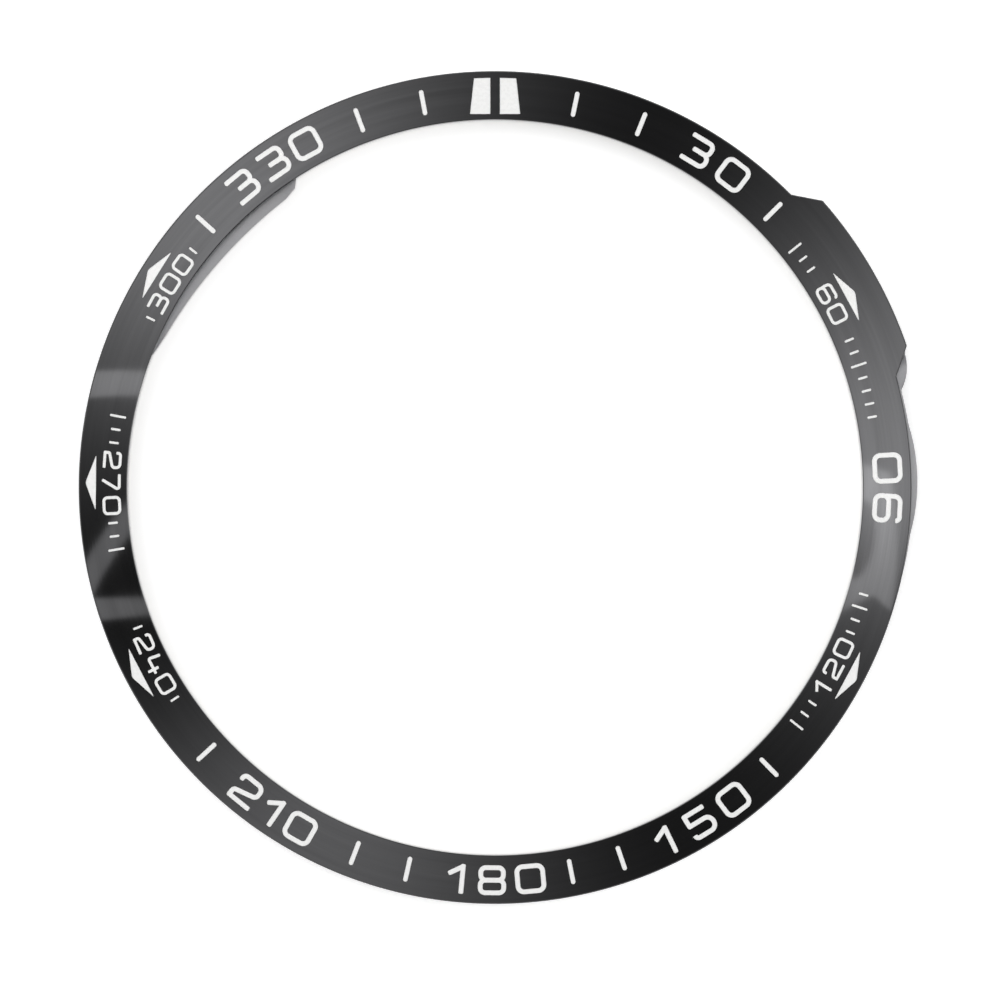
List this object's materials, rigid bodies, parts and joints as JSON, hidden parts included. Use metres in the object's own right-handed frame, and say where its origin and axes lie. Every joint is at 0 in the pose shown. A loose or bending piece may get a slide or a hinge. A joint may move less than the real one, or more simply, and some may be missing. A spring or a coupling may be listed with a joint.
{
  "type": "watch bezel",
  "caption": "Fixed ring that frames the display of a large round watch and guards its buttons, with an engraved and enamel-filled compass scale.",
  "frame": {"origin": "on the ring's axis, in the plane of the skirt's foot", "axes": "+Z out of the marked top face, +Y towards 12 o'clock, +X towards 3 o'clock"},
  "size_m": [0.0504, 0.05, 0.0024],
  "materials": {
    "black_steel": "stainless steel brushed round the ring under a black vapour-deposited coating",
    "white_enamel": "opaque white enamel, cured flush in the engraving",
    "foam_tape": "closed-cell acrylic foam tape",
    "liner_paper": "waxed kraft release paper"
  },
  "bodies": {
    "root": {"bezel_ring": "black_steel", "adhesive_ring": "foam_tape", "release_liner": "liner_paper", "index_left": "white_enamel", "index_right": "white_enamel", "tick_1": "white_enamel", "tick_2": "white_enamel", "tick_3": "white_enamel", "tick_4": "white_enamel", "tick_5": "white_enamel", "tick_6": "white_enamel", "tick_7": "white_enamel", "tick_8": "white_enamel", "tick_9": "white_enamel", "tick_10": "white_enamel", "tick_11": "white_enamel", "tick_12": "white_enamel", "arrow_060": "white_enamel", "arrow_120": "white_enamel", "arrow_240": "white_enamel", "arrow_270": "white_enamel", "arrow_300": "white_enamel"}
  },
  "joints": []
}
